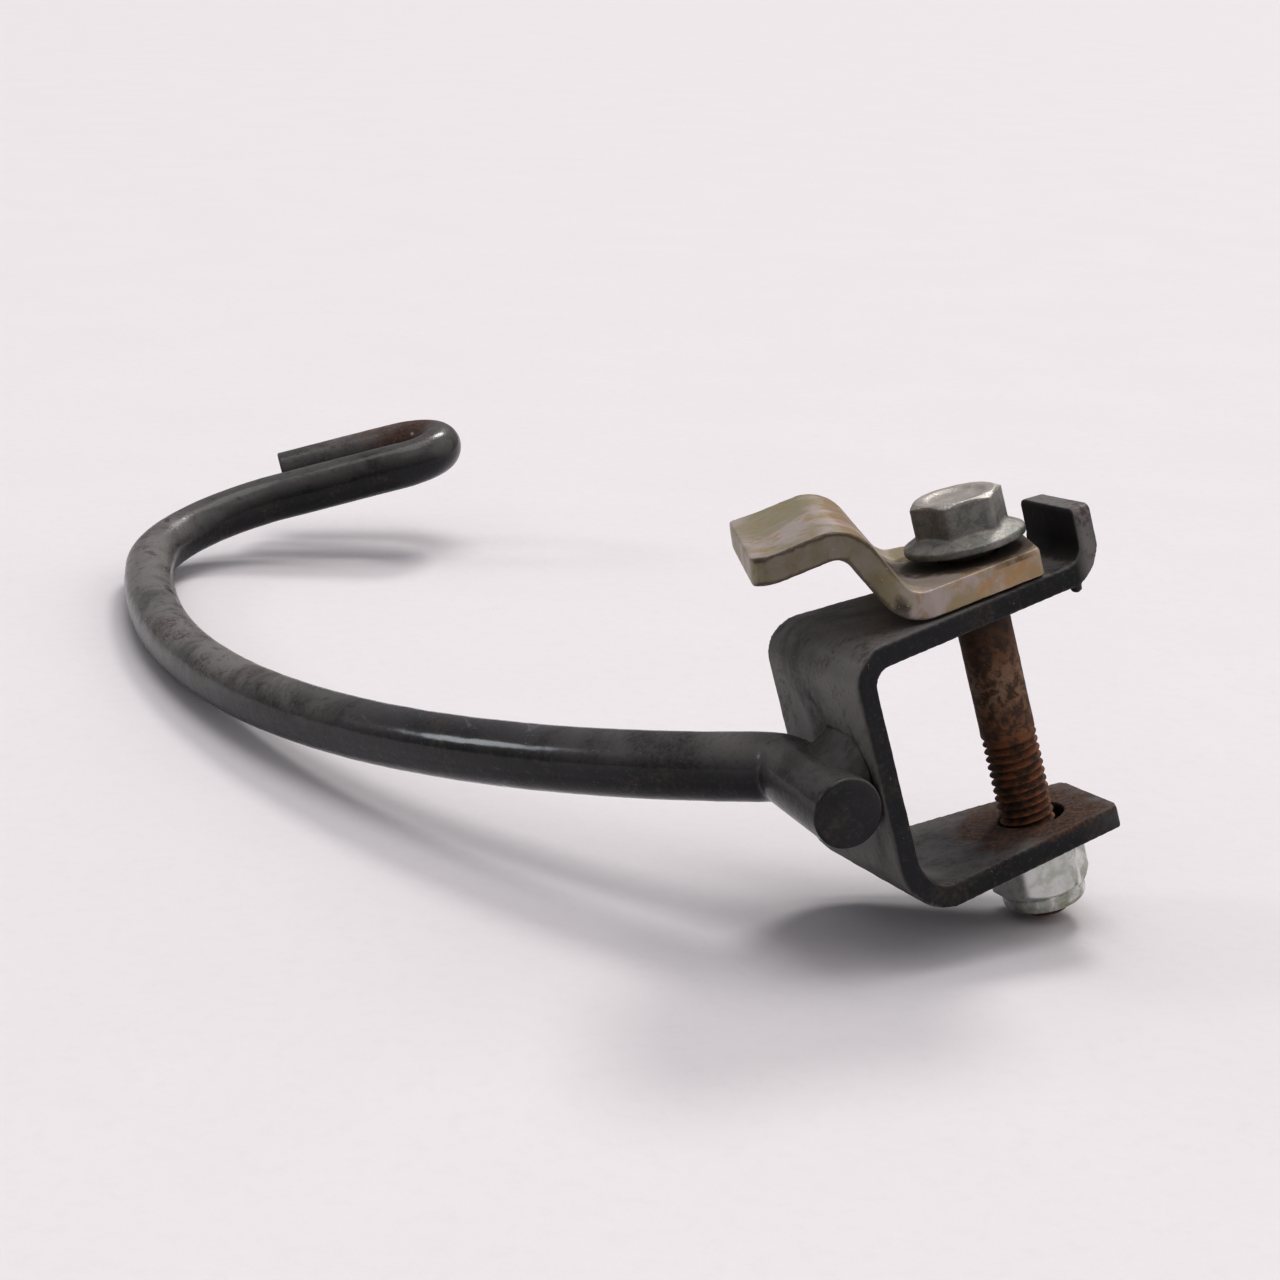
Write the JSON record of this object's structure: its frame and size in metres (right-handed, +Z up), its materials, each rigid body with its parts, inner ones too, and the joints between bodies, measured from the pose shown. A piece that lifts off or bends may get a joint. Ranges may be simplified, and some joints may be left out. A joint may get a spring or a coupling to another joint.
{
  "type": "clamp-on rod hook",
  "caption": "Bent-bar clamp bracket with a bolt, lock nut and pivoting clip strap, carrying a long bowed round-rod hook with a turned-back end.",
  "frame": {"origin": "middle of the footprint box on the floor the part rests on", "axes": "+Z up from the floor, +Y roughly along the rod from the clamp to the hook, +X towards the open side of the clamp; the clamp itself stands tilted as the part rests on its bolt tip and its rod"},
  "size_m": [0.1442, 0.3374, 0.0794],
  "materials": {
    "worn_black_paint": "worn satin black with brown rust",
    "worn_black_paint_rod": "worn satin black, rust at the hook",
    "painted_weld": "rough black",
    "yellow_zinc": "aged yellow zinc plate, patchy",
    "grey_zinc_bolt": "dull grey zinc head, rusty shank",
    "bright_zinc_nut": "bright zinc plate, scuffed",
    "white_nylon": "dirty off-white"
  },
  "bodies": {
    "frame": {"clamp_bracket": "worn_black_paint", "hook_rod": "worn_black_paint_rod", "weld_bead_upper": "painted_weld", "weld_bead_lower": "painted_weld"},
    "clip": {"clip_strap": "yellow_zinc"},
    "bolt": {"flange_bolt": "grey_zinc_bolt"},
    "nut": {"lock_nut": "bright_zinc_nut", "nylon_insert": "white_nylon"}
  },
  "joints": [
    {"name": "clip_swivel", "type": "hinge", "parent": "frame", "child": "clip", "pos_m": [0.04659, -0.14256, 0.06435], "axis": [-0.2453, 0.1215, 0.9618], "range_deg": [-52, 88]},
    {"name": "bolt_turn", "type": "hinge", "parent": "frame", "child": "bolt", "pos_m": [0.05333, -0.1459, 0.0379], "axis": [-0.2453, 0.1215, 0.9618], "range_deg": [0, 2880]},
    {"name": "nut_travel", "type": "slide", "parent": "frame", "child": "nut", "axis": [0.2453, -0.1215, -0.9618], "range_m": [0, 0.012]}
  ],
  "couplings": [
    {"joint": "nut_travel", "follows": "bolt_turn", "m_per_rad": 0.00023873}
  ]
}
